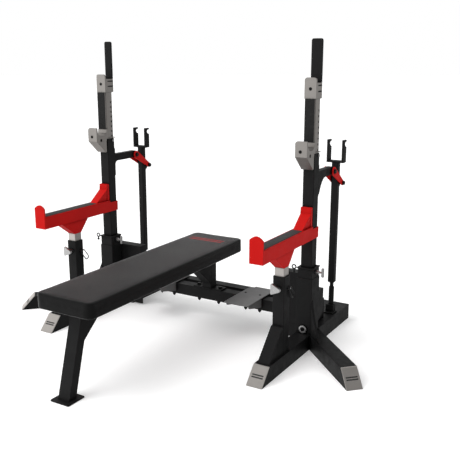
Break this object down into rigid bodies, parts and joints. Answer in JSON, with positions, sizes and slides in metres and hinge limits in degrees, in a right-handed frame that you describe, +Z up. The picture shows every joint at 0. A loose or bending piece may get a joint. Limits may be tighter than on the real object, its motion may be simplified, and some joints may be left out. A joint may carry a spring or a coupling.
{
  "type": "olympic bench press",
  "caption": "Flat weight bench with stand uprights that slide up and down, bar hooks, safety arms on posts, and lever jacks that lift the hooks.",
  "frame": {"origin": "on the floor, under the middle of the object's bounding box", "axes": "+X across the bench to its right-hand stand, +Y from the foot end to the head end, +Z up"},
  "size_m": [2.058, 1.551, 1.474],
  "materials": {
    "black_paint": "satin black powder coat",
    "red_paint": "gloss red powder coat",
    "stainless": "brushed",
    "zinc": "bright zinc plate",
    "grey_paint": "matt grey powder coat",
    "rubber": "matt",
    "liner_plastic": "matt",
    "vinyl": "grained, low sheen",
    "plywood": "bare"
  },
  "bodies": {
    "frame": {"bench_pad": "vinyl", "pad_board": "plywood", "bench_spine": "black_paint", "bench_leg": "black_paint", "bench_column": "black_paint", "crossmember": "black_paint", "foot_step_left": "grey_paint", "foot_step_right": "grey_paint", "base_frame_left": "black_paint", "diagonal_leg_left": "black_paint", "front_toe_cap_left": "stainless", "diagonal_toe_cap_left": "stainless", "post_brace_left": "black_paint", "safety_post_left": "black_paint", "upright_sleeve_left": "black_paint", "upright_outer_left": "black_paint", "jack_arm_left": "black_paint", "handle_cradle_left": "black_paint", "base_frame_right": "black_paint", "diagonal_leg_right": "black_paint", "front_toe_cap_right": "stainless", "diagonal_toe_cap_right": "stainless", "post_brace_right": "black_paint", "safety_post_right": "black_paint", "upright_sleeve_right": "black_paint", "upright_outer_right": "black_paint", "jack_arm_right": "black_paint", "handle_cradle_right": "black_paint"},
    "upright_left": {"upright_inner_left": "stainless", "bar_hook_left": "stainless", "hook_liner_left": "liner_plastic", "top_bracket_left": "stainless", "guide_horn_left": "black_paint"},
    "safety_left": {"safety_arm_left": "red_paint", "arm_pad_left": "rubber", "arm_slide_tube_left": "stainless"},
    "wing_pin_left": {"post_wing_pin_left": "zinc"},
    "post_pin_left": {"post_ring_pin_left": "zinc"},
    "tee_pin_left": {"sleeve_tee_pin_left": "zinc"},
    "sleeve_pin_left": {"sleeve_ring_pin_left": "zinc"},
    "lock_pin_left": {"upright_lock_pin_left": "zinc"},
    "links_left": {"jack_links_left": "red_paint"},
    "lever_left": {"jack_lever_left": "black_paint"},
    "handle_left": {"jack_handle_left": "black_paint"},
    "upright_right": {"upright_inner_right": "stainless", "bar_hook_right": "stainless", "hook_liner_right": "liner_plastic", "top_bracket_right": "stainless", "guide_horn_right": "black_paint"},
    "safety_right": {"safety_arm_right": "red_paint", "arm_pad_right": "rubber", "arm_slide_tube_right": "stainless"},
    "wing_pin_right": {"post_wing_pin_right": "zinc"},
    "post_pin_right": {"post_ring_pin_right": "zinc"},
    "tee_pin_right": {"sleeve_tee_pin_right": "zinc"},
    "sleeve_pin_right": {"sleeve_ring_pin_right": "zinc"},
    "lock_pin_right": {"upright_lock_pin_right": "zinc"},
    "links_right": {"jack_links_right": "red_paint"},
    "lever_right": {"jack_lever_right": "black_paint"},
    "handle_right": {"jack_handle_right": "black_paint"}
  },
  "joints": [
    {"name": "upright_height_left", "type": "slide", "parent": "frame", "child": "upright_left", "axis": [0, 0, 1], "range_m": [0, 0.598]},
    {"name": "safety_height_left", "type": "slide", "parent": "frame", "child": "safety_left", "axis": [0, 0, 1], "range_m": [0, 0.125]},
    {"name": "wing_pin_pull_left", "type": "slide", "parent": "frame", "child": "wing_pin_left", "axis": [0, -1, 0], "range_m": [0, 0.014], "stiffness_N_per_m": 500, "springref_m": -0.004},
    {"name": "post_pin_pull_left", "type": "slide", "parent": "frame", "child": "post_pin_left", "axis": [1, 0, 0], "range_m": [0, 0.013]},
    {"name": "tee_pin_pull_left", "type": "slide", "parent": "frame", "child": "tee_pin_left", "axis": [1, 0, 0], "range_m": [0, 0.012]},
    {"name": "sleeve_pin_lift_left", "type": "slide", "parent": "frame", "child": "sleeve_pin_left", "axis": [0, 0, 1], "range_m": [0, 0.02]},
    {"name": "lock_pin_pull_left", "type": "slide", "parent": "frame", "child": "lock_pin_left", "axis": [1, 0, 0], "range_m": [0, 0.008], "stiffness_N_per_m": 500, "springref_m": -0.004},
    {"name": "jack_link_pivot_left", "type": "hinge", "parent": "frame", "child": "links_left", "pos_m": [-0.616, 0.5395, 0.842], "axis": [1, 0, 0], "range_deg": [0, 80]},
    {"name": "jack_lever_pivot_left", "type": "hinge", "parent": "links_left", "child": "lever_left", "pos_m": [-0.616, 0.6575, 0.767], "axis": [1, 0, 0], "range_deg": [0, 10]},
    {"name": "handle_extend_left", "type": "slide", "parent": "lever_left", "child": "handle_left", "axis": [0, 0, 1], "range_m": [0, 0.12]},
    {"name": "upright_height_right", "type": "slide", "parent": "frame", "child": "upright_right", "axis": [0, 0, 1], "range_m": [0, 0.598]},
    {"name": "safety_height_right", "type": "slide", "parent": "frame", "child": "safety_right", "axis": [0, 0, 1], "range_m": [0, 0.125]},
    {"name": "wing_pin_pull_right", "type": "slide", "parent": "frame", "child": "wing_pin_right", "axis": [0, -1, 0], "range_m": [0, 0.014], "stiffness_N_per_m": 500, "springref_m": -0.004},
    {"name": "post_pin_pull_right", "type": "slide", "parent": "frame", "child": "post_pin_right", "axis": [1, 0, 0], "range_m": [0, 0.013]},
    {"name": "tee_pin_pull_right", "type": "slide", "parent": "frame", "child": "tee_pin_right", "axis": [1, 0, 0], "range_m": [0, 0.012]},
    {"name": "sleeve_pin_lift_right", "type": "slide", "parent": "frame", "child": "sleeve_pin_right", "axis": [0, 0, 1], "range_m": [0, 0.02]},
    {"name": "lock_pin_pull_right", "type": "slide", "parent": "frame", "child": "lock_pin_right", "axis": [1, 0, 0], "range_m": [0, 0.008], "stiffness_N_per_m": 500, "springref_m": -0.004},
    {"name": "jack_link_pivot_right", "type": "hinge", "parent": "frame", "child": "links_right", "pos_m": [0.616, 0.5395, 0.842], "axis": [1, 0, 0], "range_deg": [0, 80]},
    {"name": "jack_lever_pivot_right", "type": "hinge", "parent": "links_right", "child": "lever_right", "pos_m": [0.616, 0.6575, 0.767], "axis": [1, 0, 0], "range_deg": [0, 10]},
    {"name": "handle_extend_right", "type": "slide", "parent": "lever_right", "child": "handle_right", "axis": [0, 0, 1], "range_m": [0, 0.12]}
  ]
}
